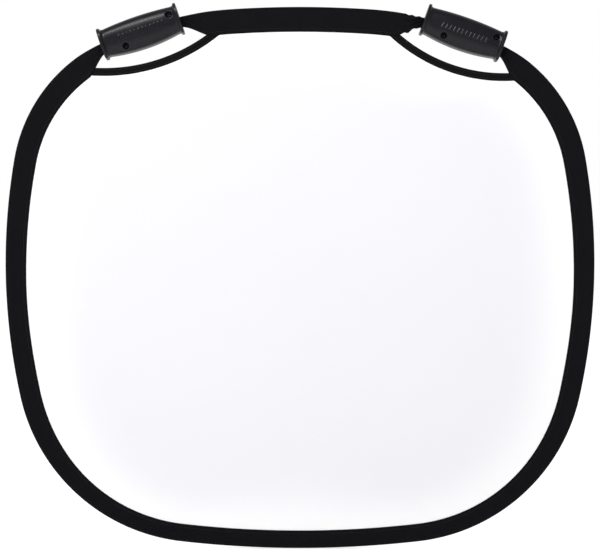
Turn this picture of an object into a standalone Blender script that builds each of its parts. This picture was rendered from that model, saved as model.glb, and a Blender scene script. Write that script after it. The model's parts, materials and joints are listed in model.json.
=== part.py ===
"""Collapsible two-sided light reflector with two moulded grips, standing upright.

Metres, +Z up. The sheet lies in the XZ plane and its white side faces -Y. The origin is the centre of
the bounding box. A sprung steel band runs round the edge inside a fabric sleeve, passes through both
grips, and its two ends meet in a ferrule at the foot. Pulling the grips together bends the disc along
two upright lines beside the middle, so the pieces there end in wedges that clear each other.
"""

import math

import bmesh
import bpy
import numpy as np
from mathutils import Matrix

# Hoop, measured over the sleeve
WIDTH = 0.800
HEIGHT = 0.735

# Half of the hoop runs from the foot (heading 0) to the crown (heading 180) in six tangent arcs.
# The foot, side and crown radii follow from the overall size.
CORNER_RADIUS = 0.253
SHOULDER_RADIUS = 0.215
GRIP_RUN_RADIUS = 0.486
ARC_ENDS = (0.0, 6.5, 77.4, 99.7, 155.2, 176.2, 180.0)
CHORD_ERROR = 0.00025
NEAREST_STEP = 0.15

# Steel band and the ferrule that joins its ends
BAND_WIDTH = 0.008
BAND_THICKNESS = 0.0009
BAND_INSET = 0.004
BAND_END_GAP = 0.0006
FERRULE_LENGTH = 0.030
FERRULE_WALL = 0.0006
FIT_GAP = 0.0003
RIVET_RADIUS = 0.0012
RIVET_HEAD_RADIUS = 0.0021
RIVET_HEAD_HEIGHT = 0.0006
RIVET_SPACING = 0.016

# Fabric sleeve round the band
SLEEVE_FOOT_WIDTH = 0.0236
SLEEVE_CROWN_WIDTH = 0.0336
SLEEVE_GROWTH = 1.3
SLEEVE_SWELL = 0.0024
SLEEVE_WALL = 0.0008
TUNNEL_ROOM = 0.00215
SLEEVE_THICKNESS = BAND_WIDTH + 2 * (FIT_GAP + FERRULE_WALL + FIT_GAP + SLEEVE_WALL)
FERRULE_HALF = BAND_THICKNESS / 2 + FIT_GAP + FERRULE_WALL
TUNNEL_NEAR = BAND_INSET - FERRULE_HALF - FIT_GAP / 2
TUNNEL_FAR = BAND_INSET + FERRULE_HALF + TUNNEL_ROOM
SLEEVE_EDGE = 0.75
SLEEVE_BACK = 0.93
SEAM_DEPTH = 0.006
SEAM_OPENING = 0.4
HEM_THICKNESS = 0.0028
BUNDLE_INSET = 0.0014
BUNDLE_WIDTH = 0.0130
BUNDLE_HEM_THICKNESS = 0.008
GATHER_LENGTH = 0.038
GATHER_STEPS = 8
BUNDLE_TUCK = 0.003

# White and silver sheets
SHEET_THICKNESS = 0.0005
SHEET_GAP = 0.0004
EDGE_GAP = 0.0004

# Finger gaps: the binding's upper edge is an arc below each grip
GAP_ARC_RADIUS = {"left": 0.238, "right": 0.216}
GAP_ROOM = {"left": 0.0426, "right": 0.0450}
GAP_LEAN = {"left": 14.9, "right": 18.9}
BINDING_WIDTH = 0.0112
BINDING_THICKNESS = 0.0026
GAP_ARC_STEPS = 18

# Bending lines
BEND_X = 0.080
BEND_GAP = 0.0002

# Grips: each sits at its own distance from the middle
GRIP_X = {"left": 0.2729 * WIDTH, "right": 0.2797 * WIDTH}
GRIP_INSET = 0.0028
GRIP_LENGTH = 0.1125
GRIP_SPLIT_GAP = 0.0003
FLANGE_HALF_HEIGHT = 0.0215
FLANGE_DEPTH = 0.0185
FLANGE_THICKNESS = 0.004
FLANGE_FILLET = 0.005
FLANGE_EDGE = 0.0008
BODY_END_HALF_HEIGHT = 0.0175
BODY_END_DEPTH = 0.0145
BELLY_TOP = 0.0034
BELLY_BOTTOM = 0.0062
BELLY_DEPTH = 0.0025
SHELL_WALL = 0.0025
SHELL_SQUARENESS = 2.6
RIB_PLACES = (-0.034, -0.010, 0.010, 0.034)
RIB_THICKNESS = 0.002
RELIEF = 0.0001
BUNDLE_CLEARANCE = 0.0015

# Screws: two go in from the front and two from the back, through a half-turned copy of the same shell. Each
# stands off the band, the first on its inner side and the second on its outer side
SCREW_X = (-0.0244, 0.0436)
SCREW_OFF_BAND = (-0.0162, 0.0065)
SCREW_HOLE_RADIUS = 0.00435
SCREW_BOSS_WALL = 0.0012
SCREW_SEAT_DEPTH = 0.008
SCREW_REACH = 0.008
SCREW_HEAD_RADIUS = 0.0031
SCREW_HEAD_HEIGHT = 0.0022
SCREW_SHANK_RADIUS = 0.0015
SCREW_TIP = 0.0015
SCREW_CLEARANCE = 0.0002
RECESS_WIDTH = 0.0009
RECESS_SPAN = 0.0036
RECESS_DEPTH = 0.0012
RECEIVER_RADIUS = 0.0036
RECEIVER_DEPTH = 0.0095

REACH = 1.0


def clear_scene():
    for item in list(bpy.data.objects):
        bpy.data.objects.remove(item, do_unlink=True)


def make_material(name, colour, roughness, metallic=0.0):
    material = bpy.data.materials.new(name)
    material.use_nodes = True
    shader = material.node_tree.nodes["Principled BSDF"]
    shader.inputs["Base Color"].default_value = (*colour, 1.0)
    shader.inputs["Roughness"].default_value = roughness
    shader.inputs["Metallic"].default_value = metallic
    return material


def make_object(name, points, faces, material=None):
    mesh = bpy.data.meshes.new(name)
    mesh.from_pydata([tuple(point) for point in points], [], faces)
    shape = bmesh.new()
    shape.from_mesh(mesh)
    bmesh.ops.recalc_face_normals(shape, faces=shape.faces)
    shape.to_mesh(mesh)
    shape.free()
    made = bpy.data.objects.new(name, mesh)
    bpy.context.scene.collection.objects.link(made)
    if material:
        mesh.materials.append(material)
    return made


def as_cutter(made):
    made.hide_render = True
    made.display_type = "WIRE"
    return made


def combine(target, cutter, operation="DIFFERENCE"):
    modifier = target.modifiers.new(cutter.name, "BOOLEAN")
    modifier.operation = operation
    modifier.solver = "EXACT"
    modifier.object = cutter


def prism(name, outline, low, high, material=None):
    """A flat outline in XZ, extruded along Y."""
    count = len(outline)
    points = [(x, y, z) for y in (low, high) for x, z in outline]
    sides = [(i, (i + 1) % count, (i + 1) % count + count, i + count) for i in range(count)]
    return make_object(name, points, [tuple(range(count)), tuple(range(count, 2 * count)), *sides], material)


def block(name, low, high):
    outline = [(low[0], low[2]), (high[0], low[2]), (high[0], high[2]), (low[0], high[2])]
    return prism(name, outline, low[1], high[1])


def turned(name, profile, axis_at=(0.0, 0.0), sides=14, material=None):
    """A profile of (radius, y) pairs turned about an axis along Y. A flat face closes an end off the axis."""
    points, faces, rings = [], [], []
    for radius, y in profile:
        first = len(points)
        turn = [2 * math.pi * k / sides for k in range(sides)] if radius else [0.0]
        points += [(axis_at[0] + radius * math.cos(a), y, axis_at[1] + radius * math.sin(a)) for a in turn]
        rings.append(range(first, len(points)))
    for one, two in zip(rings, rings[1:]):
        for k in range(sides):
            corners = [one[k % len(one)], one[(k + 1) % len(one)], two[(k + 1) % len(two)], two[k % len(two)]]
            faces.append(tuple(dict.fromkeys(corners)))
    faces += [tuple(ring) for ring in (rings[0], rings[-1]) if len(ring) > 1]
    return make_object(name, points, faces, material)


def rod(name, x, z, radius, low, high, sides=14):
    return turned(name, [(radius, low), (radius, high)], (x, z), sides)


def bisect(function, low, high):
    """The place between low and high where the function changes sign."""
    rising = function(high) > function(low)
    for _ in range(60):
        middle = (low + high) / 2
        if (function(middle) > 0) == rising:
            high = middle
        else:
            low = middle
    return (low + high) / 2


# ---------------------------------------------------------------- hoop outline


def arc_radii():
    """The six radii. The foot, side and crown radii make the half hoop as wide and as high as stated."""
    ends = np.radians(ARC_ENDS)
    across = np.sin(ends[1:]) - np.sin(ends[:-1])
    up = np.cos(ends[:-1]) - np.cos(ends[1:])
    to_side = np.array([across[0], across[1], 1.0 - math.sin(ends[2]), 0.0, 0.0, 0.0])
    known = np.array([0.0, CORNER_RADIUS, 0.0, SHOULDER_RADIUS, GRIP_RUN_RADIUS, 0.0])
    rules = np.array([to_side, across, up])
    wanted = np.array([WIDTH / 2, 0.0, HEIGHT]) - rules @ known
    solved = np.linalg.solve(rules[:, [0, 2, 5]], wanted)
    known[[0, 2, 5]] = solved
    return known


ARC_RADII = arc_radii()


def travel(heading):
    """(x, height above the foot, length run) at a heading in degrees, on the right half of the hoop."""
    x = height = length = 0.0
    for radius, start, end in zip(ARC_RADII, ARC_ENDS, ARC_ENDS[1:]):
        stop = min(max(heading, start), end)
        a, b = math.radians(start), math.radians(stop)
        x += radius * (math.sin(b) - math.sin(a))
        height += radius * (math.cos(a) - math.cos(b))
        length += radius * (b - a)
    return x, height, length


def heading_at_length(length):
    return bisect(lambda heading: travel(heading)[2] - length, 0.0, 180.0)


def grip_ends(reach):
    """(inner, outer) headings where the hoop meets the outer faces of a grip's two flanges."""
    middle = travel(bisect(lambda heading: travel(heading)[0] - reach, 90.0, 180.0))[2]

    def ends(half):
        return heading_at_length(middle + half), heading_at_length(middle - half)

    def too_long(half):
        inner, outer = (np.array(travel(heading)[:2]) for heading in ends(half))
        return float(np.linalg.norm(inner - outer)) - GRIP_LENGTH

    return ends(bisect(too_long, GRIP_LENGTH / 4, GRIP_LENGTH))


class GripPlace:
    """Where one grip sits, measured on the right half of the hoop and up from the foot."""

    def __init__(self, reach):
        self.inner, self.outer = grip_ends(reach)
        inner_end, outer_end = (np.array(travel(heading)[:2]) for heading in (self.inner, self.outer))
        self.tilt = math.atan2(inner_end[1] - outer_end[1], outer_end[0] - inner_end[0])
        self.run = np.array([math.cos(self.tilt), -math.sin(self.tilt)])
        self.outward = np.array([math.sin(self.tilt), math.cos(self.tilt)])
        self.centre = (inner_end + outer_end) / 2 - GRIP_INSET * self.outward
        self.top = inner_end[1] + (FLANGE_HALF_HEIGHT - GRIP_INSET) * self.outward[1]
        self.flanges = (travel(self.inner)[2], travel(self.outer)[2])


GRIPS = {word: GripPlace(reach) for word, reach in GRIP_X.items()}
MIDDLE_HEIGHT = max(HEIGHT, *(grip.top for grip in GRIPS.values())) / 2
SIDES = {"left": -1, "right": 1}


def word_of(side):
    return "left" if side < 0 else "right"


def gathered(heading, side):
    """1 where the sleeve enters a grip, 0 where it lies flat."""
    length = travel(heading)[2]
    inner, outer = GRIPS[word_of(side)].flanges
    away = max(length - inner, outer - length, 0.0) / GATHER_LENGTH
    reach = min(away, 1.0)
    return 1.0 - reach * reach * (3.0 - 2.0 * reach)


def sleeve_width(heading, side):
    """Grows from foot to crown, with a swell round the lower corners that is gone at half the height."""
    share = travel(heading)[1] / HEIGHT
    swell = SLEEVE_SWELL * math.sin(2 * math.pi * min(share, 0.5)) ** 2
    flat = SLEEVE_FOOT_WIDTH + (SLEEVE_CROWN_WIDTH - SLEEVE_FOOT_WIDTH) * share ** SLEEVE_GROWTH + swell
    return flat + (BUNDLE_WIDTH - flat) * gathered(heading, side)


def hoop_point(heading, inset, side):
    """(x, z) of a point that lies inset from the hoop's outer edge."""
    x, height, _ = travel(heading)
    turn = math.radians(heading)
    x -= inset * math.sin(turn)
    return side * x, height + inset * math.cos(turn) - MIDDLE_HEIGHT


def edge_point(heading, gap, side):
    """A point a gap inside the sleeve's inner edge."""
    return hoop_point(heading, sleeve_width(heading, side) + gap, side)


def all_headings():
    """Where every piece has a ring of points. A flat step straddles the foot and another the crown."""
    found = set()
    for radius, start, end in zip(ARC_RADII, ARC_ENDS, ARC_ENDS[1:]):
        at_foot, at_crown = start == ARC_ENDS[0], end == ARC_ENDS[-1]
        start = -end if at_foot else start
        end = 2 * end - start if at_crown else end
        step = 2 * math.degrees(math.acos(1 - CHORD_ERROR / radius))
        steps = math.ceil((end - start) / step)
        if at_foot or at_crown:
            steps = steps // 2 * 2 + 1
        found |= set(np.linspace(start, end, steps + 1))
    for grip in GRIPS.values():
        for k in range(1, GATHER_STEPS + 1):
            found.add(heading_at_length(grip.flanges[0] + GATHER_LENGTH * k / GATHER_STEPS))
            found.add(heading_at_length(grip.flanges[1] - GATHER_LENGTH * k / GATHER_STEPS))
    return sorted(float(heading) for heading in found if ARC_ENDS[0] < heading < ARC_ENDS[-1])


HEADINGS = all_headings()


def steps_between(low, high):
    return [heading for heading in HEADINGS if low + NEAREST_STEP < heading < high - NEAREST_STEP]


def along(side, start, end):
    """(side, heading) places from one heading to a higher one on one half of the hoop."""
    return [(side, heading) for heading in (start, *steps_between(start, end), end)]


def across(end, middle):
    """Places from the left half to the right, through the foot (middle 0) or the crown (middle 180)."""
    half = steps_between(min(end, middle), max(end, middle))
    half = [end, *(half if middle > end else half[::-1])]
    return [(-1, heading) for heading in half] + [(1, heading) for heading in half[::-1]]


def loft(name, places, rings, material):
    """Rings of (inset, y) carried along the hoop: one ring makes a bar, two make a tube with a bore."""
    points, faces = [], []
    first = rings(places[0][1], places[0][0])
    count, tube = len(first[0]), len(first) == 2
    layer = count * (2 if tube else 1)
    for side, heading in places:
        for ring in rings(heading, side):
            for inset, y in ring:
                x, z = hoop_point(heading, inset, side)
                points.append((x, y, z))
    for step in range(len(places) - 1):
        for shell in range(2 if tube else 1):
            a = step * layer + shell * count
            b = a + layer
            faces += [(a + k, a + (k + 1) % count, b + (k + 1) % count, b + k) for k in range(count)]
    for end in (0, (len(places) - 1) * layer):
        if tube:
            faces += [(end + k, end + (k + 1) % count, end + count + (k + 1) % count, end + count + k)
                      for k in range(count)]
        else:
            faces.append(tuple(range(end, end + count)))
    return make_object(name, points, faces, material)


# ---------------------------------------------------------------- bending zones


def bend_zone(name, outline):
    """A tall upright prism over an XY outline, which keeps a piece on its side of the bending lines."""
    count = len(outline)
    points = [(x, y, z) for z in (-REACH, REACH) for x, y in outline]
    sides = [(i, (i + 1) % count, (i + 1) % count + count, i + count) for i in range(count)]
    return as_cutter(make_object(name, points, [tuple(range(count)), tuple(range(count, 2 * count)), *sides]))


def make_zones():
    deep = 2 * FLANGE_DEPTH
    near, far = BEND_X - BEND_GAP, BEND_X + BEND_GAP
    centre = [(near, 0), (near - deep, deep), (deep - near, deep), (-near, 0), (deep - near, -deep),
              (near - deep, -deep)]
    wing = [(far, 0), (far + deep, -deep), (REACH, -deep), (REACH, deep), (far + deep, deep)]
    return {
        "centre": bend_zone("zone_centre", centre),
        "right": bend_zone("zone_right", wing),
        "left": bend_zone("zone_left", [(-x, y) for x, y in wing]),
    }


# ---------------------------------------------------------------- band, ferrule and rivets


def band_ring(_heading, _side):
    near, far = BAND_INSET - BAND_THICKNESS / 2, BAND_INSET + BAND_THICKNESS / 2
    half = BAND_WIDTH / 2
    return [[(near, -half), (far, -half), (far, half), (near, half)]]


def headings_at(x):
    """(foot, crown) headings where the hoop's outer edge is x from the middle."""
    foot = bisect(lambda heading: travel(heading)[0] - x, ARC_ENDS[0], 90.0)
    crown = bisect(lambda heading: travel(heading)[0] - x, 90.0, ARC_ENDS[-1])
    return foot, crown


def make_band(zones, steel):
    foot, crown = headings_at(BEND_X + SLEEVE_THICKNESS)
    wing_foot, wing_crown = headings_at(BEND_X - SLEEVE_THICKNESS)
    top = loft("hoop_band_crown", across(crown, 180.0), band_ring, steel)
    combine(top, zones["centre"], "INTERSECT")
    start = heading_at_length(BAND_END_GAP / 2)
    for word, side in SIDES.items():
        end = loft(f"hoop_band_foot_{word}", along(side, start, foot), band_ring, steel)
        combine(end, zones["centre"], "INTERSECT")
        rivet_hole(end, word, side)
        wing = loft(f"hoop_band_{word}", along(side, wing_foot, wing_crown), band_ring, steel)
        combine(wing, zones[word], "INTERSECT")


def upright_rod(name, x, radius, low, high, sides=12, material=None):
    made = turned(name, [(radius, low), (radius, high)], (x, 0.0), sides, material)
    made.data.transform(Matrix.Rotation(math.pi / 2, 4, "X"))
    return made


def rivet_hole(target, word, side):
    at = band_height(0.0)
    hole = upright_rod(f"rivet_hole_{target.name}_{word}", side * RIVET_SPACING / 2,
                       RIVET_RADIUS + SCREW_CLEARANCE, at - SLEEVE_THICKNESS, at + SLEEVE_THICKNESS)
    combine(target, as_cutter(hole))


def band_height(heading):
    return hoop_point(heading, BAND_INSET, 1)[1]


def make_ferrule(steel):
    def rings(_heading, _side):
        found = []
        for cut in (0.0, FERRULE_WALL):
            near, far = BAND_INSET - FERRULE_HALF + cut, BAND_INSET + FERRULE_HALF - cut
            side = BAND_WIDTH / 2 + FIT_GAP + FERRULE_WALL - cut
            found.append([(near, -side), (far, -side), (far, side), (near, side)])
        return found

    end = heading_at_length(FERRULE_LENGTH / 2)
    ferrule = loft("band_ferrule", across(end, 0.0), rings, steel)
    for word, side in SIDES.items():
        rivet_hole(ferrule, word, side)
        x = side * RIVET_SPACING / 2
        base = band_height(heading_at_length(abs(x)))
        low, high = base - FERRULE_HALF - RELIEF, base + FERRULE_HALF + RELIEF
        profile = [(RIVET_HEAD_RADIUS, low - RIVET_HEAD_HEIGHT), (RIVET_HEAD_RADIUS, low),
                   (RIVET_RADIUS, low), (RIVET_RADIUS, high), (RIVET_HEAD_RADIUS, high),
                   (RIVET_HEAD_RADIUS, high + RIVET_HEAD_HEIGHT)]
        rivet = turned(f"ferrule_rivet_{word}", [(r, -y) for r, y in profile], (x, 0.0), 12, steel)
        rivet.data.transform(Matrix.Rotation(-math.pi / 2, 4, "X"))


# ---------------------------------------------------------------- sleeve


def sleeve_rings(heading, side):
    """Outer and inner outline of the sleeve: a wedge that is thick round the band and thin at its hem."""
    width, gather = sleeve_width(heading, side), gathered(heading, side)
    half = SLEEVE_THICKNESS / 2
    hem = (HEM_THICKNESS + (BUNDLE_HEM_THICKNESS - HEM_THICKNESS) * gather) / 2
    seam = SEAM_DEPTH + (1.5 * SLEEVE_WALL - SEAM_DEPTH) * gather
    start = BUNDLE_INSET * gather
    bore = half - SLEEVE_WALL
    outer = [(start, SLEEVE_EDGE * half), (TUNNEL_NEAR, half), (TUNNEL_FAR, SLEEVE_BACK * half), (width, hem)]
    inner = [(start + SLEEVE_WALL, SLEEVE_EDGE * bore), (TUNNEL_NEAR, bore),
             (TUNNEL_FAR, SLEEVE_BACK * half - SLEEVE_WALL), (width - seam, SEAM_OPENING * hem)]
    return [[(r, -y) for r, y in ring] + [(r, y) for r, y in ring[::-1]] for ring in (outer, inner)]


def make_sleeve(zones, cloth):
    foot, crown = headings_at(BEND_X + SLEEVE_THICKNESS)
    wing_foot, wing_crown = headings_at(BEND_X - SLEEVE_THICKNESS)
    for name, places in (("rim_sleeve_crown", across(crown, 180.0)), ("rim_sleeve_foot", across(foot, 0.0))):
        combine(loft(name, places, sleeve_rings, cloth), zones["centre"], "INTERSECT")
    for word, side in SIDES.items():
        inner, outer = GRIPS[word].flanges
        tuck_inner = heading_at_length(inner - BUNDLE_TUCK)
        tuck_outer = heading_at_length(outer + BUNDLE_TUCK)
        flank = loft(f"rim_sleeve_{word}_side", along(side, wing_foot, tuck_outer), sleeve_rings, cloth)
        top = loft(f"rim_sleeve_{word}_top", along(side, tuck_inner, wing_crown), sleeve_rings, cloth)
        combine(flank, zones[word], "INTERSECT")
        combine(top, zones[word], "INTERSECT")


# ---------------------------------------------------------------- sheets and bindings


def gap_arc(word):
    """(x, z) centre and radius of the binding's upper edge under a grip."""
    radius = GAP_ARC_RADIUS[word]
    out = radius - GAP_ROOM[word]
    lean = math.radians(GAP_LEAN[word])
    x, height = GRIPS[word].centre
    return (SIDES[word] * (x + out * math.sin(lean)), height - MIDDLE_HEIGHT + out * math.cos(lean)), radius


def arc_meets_edge(word, radius):
    """(outer, inner) headings where a circle about the gap arc's centre meets the sleeve's inner edge."""
    centre, _ = gap_arc(word)

    def outside(heading):
        x, z = edge_point(heading, EDGE_GAP, SIDES[word])
        return math.hypot(x - centre[0], z - centre[1]) - radius

    return bisect(outside, 100.0, GRIPS[word].outer), bisect(outside, GRIPS[word].inner, 180.0)


def arc_points(word, radius, start, end):
    """Points round the gap arc's centre, from the sleeve's edge at one heading to its edge at another."""
    centre, _ = gap_arc(word)
    angles = []
    for heading in (start, end):
        x, z = edge_point(heading, EDGE_GAP, SIDES[word])
        angles.append(math.atan2(z - centre[1], x - centre[0]))
    turn = np.linspace(angles[0], angles[1], GAP_ARC_STEPS + 1)
    return [(centre[0] + radius * math.cos(a), centre[1] + radius * math.sin(a)) for a in turn]


def edge_run(word, headings):
    return [edge_point(heading, EDGE_GAP, SIDES[word]) for heading in headings]


def sheet_outline(word):
    """One half of a sheet, from the foot round to the crown, dipping under the grip's finger gap."""
    radius = GAP_ARC_RADIUS[word] + BINDING_WIDTH + FIT_GAP
    outer, inner = arc_meets_edge(word, radius)
    below = edge_run(word, steps_between(ARC_ENDS[0] - NEAREST_STEP, outer))
    above = edge_run(word, steps_between(inner, ARC_ENDS[-1] + NEAREST_STEP))
    return below + arc_points(word, radius, outer, inner) + above


def make_sheets(zones, finishes):
    inner = SHEET_GAP / 2
    outer = inner + SHEET_THICKNESS
    right, left = sheet_outline("right"), sheet_outline("left")
    whole = right + left[::-1]
    for colour, facing in (("white", -1), ("silver", 1)):
        low, high = sorted((facing * inner, facing * outer))
        for word in ("centre", "left", "right"):
            sheet = prism(f"{colour}_panel_{word}", whole, low, high, finishes[colour])
            combine(sheet, zones[word], "INTERSECT")


def make_bindings(cloth):
    for word in ("left", "right"):
        upper = GAP_ARC_RADIUS[word]
        lower = upper + BINDING_WIDTH
        top_outer, top_inner = arc_meets_edge(word, upper)
        low_outer, low_inner = arc_meets_edge(word, lower)
        outline = arc_points(word, upper, top_outer, top_inner)
        outline += edge_run(word, steps_between(top_inner, low_inner))
        outline += arc_points(word, lower, low_inner, low_outer)
        outline += edge_run(word, steps_between(low_outer, top_outer))
        prism(f"finger_gap_binding_{word}", outline, -BINDING_THICKNESS / 2, BINDING_THICKNESS / 2, cloth)


# ---------------------------------------------------------------- grips


def grip_size(x, inward=0.0):
    """(top, bottom, depth) of a grip's body at x along it, brought in by a wall."""
    half = GRIP_LENGTH / 2
    bulge = 1.0 - (x / half) ** 2
    end = half - FLANGE_THICKNESS
    past = (abs(x) - (end - FLANGE_FILLET)) / FLANGE_FILLET
    grow = 1.0 - math.sqrt(max(0.0, 1.0 - min(max(past, 0.0), 1.0) ** 2)) if not inward else 0.0
    top = BODY_END_HALF_HEIGHT + BELLY_TOP * bulge
    bottom = BODY_END_HALF_HEIGHT + BELLY_BOTTOM * bulge
    depth = BODY_END_DEPTH + BELLY_DEPTH * bulge
    top += (FLANGE_HALF_HEIGHT - top) * grow
    bottom += (FLANGE_HALF_HEIGHT - bottom) * grow
    depth += (FLANGE_DEPTH - depth) * grow
    return top - inward, bottom - inward, depth - inward


def half_section(x, size, steps, front, back):
    """Points of a squarish half oval from its bottom to its top, closed along a flat back."""
    top, bottom, depth = size
    middle, tall = (top - bottom) / 2, (top + bottom) / 2
    points = [(x, back, middle - tall)] if back > front else []
    for k in range(steps + 1):
        turn = math.pi * (k / steps - 0.5)
        rise, reach = math.sin(turn), math.cos(turn)
        z = math.copysign(abs(rise) ** (2 / SHELL_SQUARENESS), rise)
        y = max(reach, 0.0) ** (2 / SHELL_SQUARENESS)
        points.append((x, min(front - depth * y, front), middle + tall * z))
    return points + ([(x, back, middle + tall)] if back > front else [])


def section_loft(name, sections, material=None):
    count = len(sections[0])
    points = [point for section in sections for point in section]
    faces = [tuple(range(count)), tuple(range(len(points) - count, len(points)))]
    for step in range(len(sections) - 1):
        a, b = step * count, (step + 1) * count
        faces += [(a + k, a + (k + 1) % count, b + (k + 1) % count, b + k) for k in range(count)]
    return make_object(name, points, faces, material)


def shell_stations():
    half = GRIP_LENGTH / 2
    end = half - FLANGE_THICKNESS
    inside = [end - FLANGE_FILLET * share for share in (1.0, 0.6, 0.3, 0.1, 0.0)]
    belly = [inside[0] * share for share in (0.25, 0.5, 0.75)]
    right = [0.0, *belly, *inside, half - FLANGE_EDGE, half]
    return sorted({-x for x in right} | set(right))


def shell_size(x):
    half = GRIP_LENGTH / 2
    if abs(x) > half - FLANGE_EDGE / 2:
        return FLANGE_HALF_HEIGHT - FLANGE_EDGE, FLANGE_HALF_HEIGHT - FLANGE_EDGE, FLANGE_DEPTH - FLANGE_EDGE
    return grip_size(x)


def band_in_grip(grip, x):
    """Height of the band over a grip's axis, x along it from its middle."""

    def short(heading):
        return (np.array(travel(heading)[:2]) - grip.centre) @ grip.run - x

    heading = bisect(short, grip.outer, grip.inner)
    return (np.array(hoop_point(heading, BAND_INSET, 1)) + [0.0, MIDDLE_HEIGHT] - grip.centre) @ grip.outward


def band_heights(x):
    """Lowest and highest the band runs at x, in either grip and in either of a grip's two shells."""
    heights = [band_in_grip(grip, place) for grip in GRIPS.values() for place in (x, -x)]
    return min(heights), max(heights)


def screw_places():
    """(x, z) of the screws that go in from one side, clear of the band wherever it runs."""
    (low, _), (_, high) = (band_heights(x) for x in SCREW_X)
    return [(x, height + off) for x, height, off in zip(SCREW_X, (low, high), SCREW_OFF_BAND)]


def make_shell(plastic):
    """The front shell in the grip's own frame: x along it, z out from the hoop, y from the split."""
    split = -GRIP_SPLIT_GAP / 2
    outside = section_loft("grip_shell", [half_section(x, shell_size(x), 12, split, split)
                                          for x in shell_stations()], plastic)
    half = GRIP_LENGTH / 2
    end = half - FLANGE_THICKNESS
    places = [end * share for share in (-1.0, -0.66, -0.33, 0.0, 0.33, 0.66, 1.0)]
    cavity = section_loft("grip_cavity", [half_section(x, grip_size(x, SHELL_WALL), 8, split, SHELL_WALL)
                                          for x in places])
    floor = -2 * FLANGE_DEPTH
    for k, (x, z) in enumerate(screw_places()):
        boss = SCREW_HOLE_RADIUS + SCREW_BOSS_WALL
        combine(cavity, as_cutter(rod(f"boss_{k}", x, z, boss, floor, split - RELIEF)))
        combine(cavity, as_cutter(rod(f"receiver_{k}", -x, z, RECEIVER_RADIUS, floor, split - RELIEF)))
    for k, x in enumerate(RIB_PLACES):
        thin = RIB_THICKNESS / 2
        rib = block(f"rib_{k}", (x - thin, floor, floor), (x + thin, split - RELIEF, -floor))
        combine(cavity, as_cutter(rib))
    combine(outside, as_cutter(cavity))
    deep = BAND_WIDTH / 2 + FIT_GAP
    slack = BAND_THICKNESS / 2 + FIT_GAP
    for k, x in enumerate(RIB_PLACES):
        low, high = band_heights(x)
        notch = block(f"band_notch_{k}", (x - 2 * RIB_THICKNESS, -deep, low - slack),
                      (x + 2 * RIB_THICKNESS, SHELL_WALL, high + slack))
        combine(outside, as_cutter(notch))
    for k, way in enumerate((-1, 1)):
        near, far = sorted((way * (end - FIT_GAP), way * (half + SHELL_WALL)))
        mouth = block(f"bundle_mouth_{k}", (near, -(SLEEVE_THICKNESS + BUNDLE_CLEARANCE) / 2,
                                            GRIP_INSET - BUNDLE_WIDTH - BUNDLE_CLEARANCE),
                      (far, SHELL_WALL, GRIP_INSET - BUNDLE_INSET + BUNDLE_CLEARANCE))
        combine(outside, as_cutter(mouth))
    for k, (x, z) in enumerate(screw_places()):
        shank = SCREW_SHANK_RADIUS + SCREW_CLEARANCE
        profile = [(SCREW_HOLE_RADIUS, floor), (SCREW_HOLE_RADIUS, -SCREW_SEAT_DEPTH),
                   (shank, -SCREW_SEAT_DEPTH), (shank, SHELL_WALL)]
        combine(outside, as_cutter(turned(f"screw_hole_{k}", profile, (x, z))))
        pilot = rod(f"pilot_hole_{k}", -x, z, shank, -RECEIVER_DEPTH, SHELL_WALL)
        combine(outside, as_cutter(pilot))
    return outside


def make_screw(steel):
    """A pan-head screw along +Y, its head's seat at y = 0 and its cross recess facing -Y."""
    length = SCREW_SEAT_DEPTH + SCREW_REACH
    head = -SCREW_HEAD_HEIGHT
    profile = [(0.7 * SCREW_HEAD_RADIUS, head), (SCREW_HEAD_RADIUS, 0.6 * head),
               (SCREW_HEAD_RADIUS, 0.0), (SCREW_SHANK_RADIUS, 0.0), (SCREW_SHANK_RADIUS, length - SCREW_TIP),
               (0.0, length)]
    screw = turned("grip_screw", profile, sides=12, material=steel)
    wide, long = RECESS_WIDTH / 2, RECESS_SPAN / 2
    cross = [(-wide, -long), (wide, -long), (wide, -wide), (long, -wide), (long, wide), (wide, wide),
             (wide, long), (-wide, long), (-wide, wide), (-long, wide), (-long, -wide), (-wide, -wide)]
    combine(screw, as_cutter(prism("screw_recess", cross, 2 * head, head + RECESS_DEPTH)))
    return screw


def finished_mesh(made):
    """The object's mesh with its Booleans worked out, smooth but for its corners, for copies to share."""
    graph = bpy.context.evaluated_depsgraph_get()
    mesh = bpy.data.meshes.new_from_object(made.evaluated_get(graph), depsgraph=graph)
    mesh.shade_smooth()
    mesh.set_sharp_from_angle(angle=math.radians(35))
    bpy.data.objects.remove(made, do_unlink=True)
    return mesh


def place_copy(name, mesh, parent, matrix):
    made = bpy.data.objects.new(name, mesh)
    bpy.context.scene.collection.objects.link(made)
    made.parent = parent
    made.matrix_local = matrix
    return made


def make_grips(plastic, steel):
    shell_mesh = finished_mesh(make_shell(plastic))
    screw_mesh = finished_mesh(make_screw(steel))
    half_turn = Matrix.Rotation(math.pi, 4, "Z")
    for word, side in SIDES.items():
        grip = GRIPS[word]
        frame = bpy.data.objects.new(f"grip_{word}_frame", None)
        bpy.context.scene.collection.objects.link(frame)
        frame.location = (side * grip.centre[0], 0.0, grip.centre[1] - MIDDLE_HEIGHT)
        frame.rotation_euler = (0.0, side * grip.tilt, 0.0)
        place_copy(f"grip_{word}_front_shell", shell_mesh, frame, Matrix())
        place_copy(f"grip_{word}_back_shell", shell_mesh, frame, half_turn)
        number = 0
        for facing in (Matrix(), half_turn):
            for x, z in screw_places():
                number += 1
                seat = Matrix.Translation((x, -SCREW_SEAT_DEPTH - RELIEF, z))
                place_copy(f"grip_{word}_screw_{number}", screw_mesh, frame, facing @ seat)


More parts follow.
